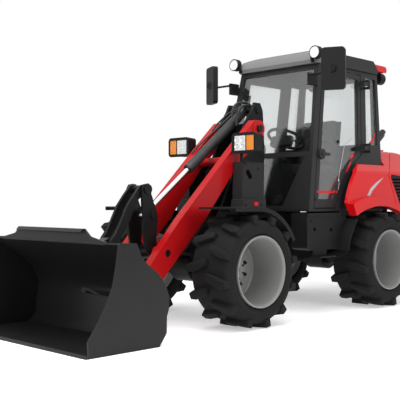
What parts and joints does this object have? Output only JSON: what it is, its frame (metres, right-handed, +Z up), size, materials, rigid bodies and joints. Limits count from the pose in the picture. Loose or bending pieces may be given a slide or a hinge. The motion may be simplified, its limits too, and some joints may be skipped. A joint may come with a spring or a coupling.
{
  "type": "wheel loader",
  "caption": "Compact articulated wheel loader with lift arms, rocker linkage, quick hitch, earth bucket and a closed cab.",
  "frame": {"origin": "middle of the bounding box on the ground", "axes": "+X forward to the bucket's edge, +Y to the machine's left, +Z up"},
  "size_m": [4.544, 1.6866, 2.441],
  "materials": {
    "tyre": "matte, dusty",
    "rim": "satin",
    "black_steel": "satin",
    "cast_weight": "rough",
    "red_paint": "semi-gloss",
    "bucket_black": "satin",
    "grey_paint": "satin",
    "chrome_rod": "polished",
    "cab_grey": "satin",
    "glass": "polished",
    "seat_cloth": "woven cloth",
    "black_plastic": "fine grain",
    "dark_grey_plastic": "fine grain",
    "amber_lens": "glossy",
    "clear_lens": "glossy"
  },
  "bodies": {
    "door": {"door_frame": "cab_grey", "door_glass": "glass"},
    "hood": {"hood": "red_paint", "hood_grilles": "black_plastic"},
    "front_frame": {"front_chassis": "black_steel", "front_axle": "black_steel", "front_fenders": "black_plastic", "headlights": "black_plastic", "headlight_lenses": "clear_lens", "indicators": "amber_lens", "tower_covers": "dark_grey_plastic"},
    "arms": {"lift_arms": "red_paint"},
    "level_rocker_pin": {"rocker_pin": "black_steel"},
    "rocker": {"rocker": "black_steel"},
    "level_link_pin": {"link_pin": "black_steel"},
    "tilt_link": {"tilt_link": "black_steel"},
    "level_hitch_pins": {"hitch_pins": "black_steel"},
    "bucket": {"quick_hitch": "black_steel", "bucket": "bucket_black"},
    "tilt_base_pin": {"tilt_cylinder_pin": "black_steel"},
    "tilt_barrel": {"tilt_cylinder_barrel": "grey_paint"},
    "tilt_rod": {"tilt_cylinder_rod": "chrome_rod"},
    "lift_barrels": {"lift_cylinder_barrels": "black_steel"},
    "lift_rods": {"lift_cylinder_rods": "chrome_rod"},
    "steering_barrel": {"steering_cylinder_barrel": "black_steel"},
    "steering_rod": {"steering_cylinder_rod": "chrome_rod"},
    "wheel_front_left": {"tyre_front_left": "tyre", "rim_front_left": "rim"},
    "wheel_front_right": {"tyre_front_right": "tyre", "rim_front_right": "rim"},
    "wheel_rear_left": {"tyre_rear_left": "tyre", "rim_rear_left": "rim"},
    "wheel_rear_right": {"tyre_rear_right": "tyre", "rim_rear_right": "rim"},
    "rear_frame": {"cab_frame": "cab_grey", "cab_roof": "cab_grey", "counterweight": "cast_weight", "engine_block": "cast_weight", "exhaust": "grey_paint", "fixed_windows": "glass", "mirrors": "black_plastic", "rear_axle": "black_steel", "rear_chassis": "black_steel", "rear_fenders": "red_paint", "roof_fairing": "red_paint", "seat": "seat_cloth", "seat_base_and_console": "black_plastic", "side_boxes": "black_plastic", "steering_column": "black_plastic", "windscreen": "glass", "work_lamp_lenses": "clear_lens", "work_lamps": "black_plastic"}
  },
  "joints": [
    {"name": "articulation", "type": "hinge", "parent": "rear_frame", "child": "front_frame", "pos_m": [-0.325, 0, 0.65], "axis": [0, 0, 1], "range_deg": [-40, 40]},
    {"name": "lift", "type": "hinge", "parent": "front_frame", "child": "arms", "pos_m": [-0.007, 0, 1.627], "axis": [0, -1, 0], "range_deg": [0, 90]},
    {"name": "level_bucket", "type": "hinge", "parent": "arms", "child": "level_hitch_pins", "pos_m": [1.4, 0, 0.18], "axis": [0, 1, 0], "range_deg": [-1, 62.2]},
    {"name": "tilt", "type": "hinge", "parent": "level_hitch_pins", "child": "bucket", "pos_m": [1.4, 0, 0.18], "axis": [0, 1, 0], "range_deg": [-32, 60]},
    {"name": "level_rocker", "type": "hinge", "parent": "arms", "child": "level_rocker_pin", "pos_m": [1.067, 0, 0.583], "axis": [0, 1, 0], "range_deg": [-1, 58.34]},
    {"name": "rocker_turn", "type": "hinge", "parent": "level_rocker_pin", "child": "rocker", "pos_m": [1.067, 0, 0.583], "axis": [0, 1, 0], "range_deg": [-30.98, 57.22]},
    {"name": "level_link", "type": "hinge", "parent": "rocker", "child": "level_link_pin", "pos_m": [1.151, 0, 1.086], "axis": [0, 1, 0], "range_deg": [-56.69, 1]},
    {"name": "link_turn", "type": "hinge", "parent": "level_link_pin", "child": "tilt_link", "pos_m": [1.151, 0, 1.086], "axis": [0, 1, 0], "range_deg": [-55.6, 30.12]},
    {"name": "tilt_base_turn", "type": "hinge", "parent": "front_frame", "child": "tilt_base_pin", "pos_m": [-0.1, 0, 1.81], "axis": [0, -1, 0], "range_deg": [-1, 82.9]},
    {"name": "tilt_barrel_turn", "type": "hinge", "parent": "tilt_base_pin", "child": "tilt_barrel", "pos_m": [-0.1, 0, 1.81], "axis": [0, -1, 0], "range_deg": [-3.4, 5.5]},
    {"name": "tilt_rod_slide", "type": "slide", "parent": "tilt_barrel", "child": "tilt_rod", "axis": [0.791, 0, -0.6119], "range_m": [-0.1301, 0.2351]},
    {"name": "lift_barrel_turn", "type": "hinge", "parent": "front_frame", "child": "lift_barrels", "pos_m": [0.189, 0, 1.232], "axis": [0, -1, 0], "range_deg": [-1, 100.81]},
    {"name": "lift_rod_slide", "type": "slide", "parent": "lift_barrels", "child": "lift_rods", "axis": [0.7398, 0, -0.6728], "range_m": [-0.01, 0.6022]},
    {"name": "steering_barrel_turn", "type": "hinge", "parent": "rear_frame", "child": "steering_barrel", "pos_m": [-0.76, -0.26, 0.6], "axis": [0, 0, 1], "range_deg": [-16, 16]},
    {"name": "steering_rod_slide", "type": "slide", "parent": "steering_barrel", "child": "steering_rod", "axis": [1, 0, 0], "range_m": [-0.19, 0.19]},
    {"name": "door_hinge", "type": "hinge", "parent": "rear_frame", "child": "door", "pos_m": [-1.25, 0.59, 1.407], "axis": [-0.0835, -0.0704, 0.994], "range_deg": [0, 80]},
    {"name": "hood_hinge", "type": "hinge", "parent": "rear_frame", "child": "hood", "pos_m": [-1.846, 0, 1.51], "axis": [0, 1, 0], "range_deg": [0, 50]},
    {"name": "wheel_front_left_turn", "type": "hinge", "parent": "front_frame", "child": "wheel_front_left", "pos_m": [0.6, 0.617, 0.445], "axis": [0, 1, 0], "continuous": true},
    {"name": "wheel_front_right_turn", "type": "hinge", "parent": "front_frame", "child": "wheel_front_right", "pos_m": [0.6, -0.617, 0.445], "axis": [0, 1, 0], "continuous": true},
    {"name": "wheel_rear_left_turn", "type": "hinge", "parent": "rear_frame", "child": "wheel_rear_left", "pos_m": [-1.25, 0.617, 0.445], "axis": [0, 1, 0], "continuous": true},
    {"name": "wheel_rear_right_turn", "type": "hinge", "parent": "rear_frame", "child": "wheel_rear_right", "pos_m": [-1.25, -0.617, 0.445], "axis": [0, 1, 0], "continuous": true}
  ],
  "couplings": [
    {"joint": "level_bucket", "follows": "lift", "ratio": 0.68},
    {"joint": "level_rocker", "follows": "lift", "ratio": 0.6372},
    {"joint": "rocker_turn", "follows": "tilt", "ratio": 0.937},
    {"joint": "level_link", "follows": "lift", "ratio": -0.6188},
    {"joint": "link_turn", "follows": "tilt", "ratio": -0.91},
    {"joint": "tilt_base_turn", "follows": "lift", "ratio": 0.91},
    {"joint": "tilt_barrel_turn", "follows": "tilt", "ratio": 0.075},
    {"joint": "tilt_rod_slide", "follows": "tilt", "m_per_rad": 0.215},
    {"joint": "lift_barrel_turn", "follows": "lift", "ratio": 1.109},
    {"joint": "lift_rod_slide", "follows": "lift", "m_per_rad": 0.377},
    {"joint": "steering_barrel_turn", "follows": "articulation", "ratio": 0.3625},
    {"joint": "steering_rod_slide", "follows": "articulation", "m_per_rad": 0.2536}
  ]
}
